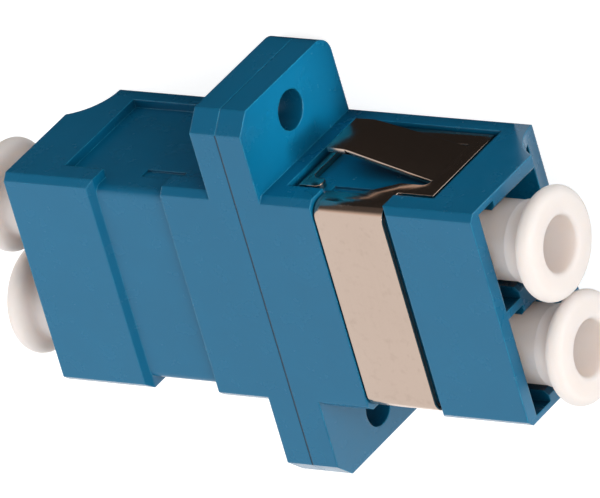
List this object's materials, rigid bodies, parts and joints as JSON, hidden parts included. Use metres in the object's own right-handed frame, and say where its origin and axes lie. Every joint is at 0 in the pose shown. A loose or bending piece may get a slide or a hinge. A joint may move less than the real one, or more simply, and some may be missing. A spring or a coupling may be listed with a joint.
{
  "type": "duplex fibre optic adapter",
  "caption": "Flanged panel adapter that joins small form factor fibre plugs end to end, with a moulded split body, a spring steel retaining clip and pull-out dust caps.",
  "frame": {"origin": "on the latch-side face that the part lies on, at the seam between the halves, midway between the ports", "axes": "+X along the ports towards the end with the clip, +Y across the ports and the flange, +Z from the latch side up to the strap side"},
  "size_m": [0.0354, 0.022, 0.0089],
  "materials": {
    "housing": "moulded blue, satin",
    "sleeve_holder": "moulded blue",
    "ceramic_sleeve": null,
    "spring_steel": "rolled stainless sheet",
    "dust_cap": "soft white moulding"
  },
  "bodies": {
    "adapter": {"front_housing": "housing", "rear_housing": "housing", "sleeve_holder_front": "sleeve_holder", "sleeve_holder_rear": "sleeve_holder", "alignment_sleeve_left": "ceramic_sleeve", "alignment_sleeve_right": "ceramic_sleeve", "retaining_clip": "spring_steel"},
    "dust_cap_front_left": {"dust_cap_front_left": "dust_cap"},
    "dust_cap_front_right": {"dust_cap_front_right": "dust_cap"},
    "dust_cap_rear_left": {"dust_cap_rear_left": "dust_cap"},
    "dust_cap_rear_right": {"dust_cap_rear_right": "dust_cap"}
  },
  "joints": [
    {"name": "dust_cap_front_left_pull", "type": "slide", "parent": "adapter", "child": "dust_cap_front_left", "axis": [1, 0, 0], "range_m": [0, 0.015]},
    {"name": "dust_cap_front_right_pull", "type": "slide", "parent": "adapter", "child": "dust_cap_front_right", "axis": [1, 0, 0], "range_m": [0, 0.015]},
    {"name": "dust_cap_rear_left_pull", "type": "slide", "parent": "adapter", "child": "dust_cap_rear_left", "axis": [-1, 0, 0], "range_m": [0, 0.015]},
    {"name": "dust_cap_rear_right_pull", "type": "slide", "parent": "adapter", "child": "dust_cap_rear_right", "axis": [-1, 0, 0], "range_m": [0, 0.015]}
  ]
}
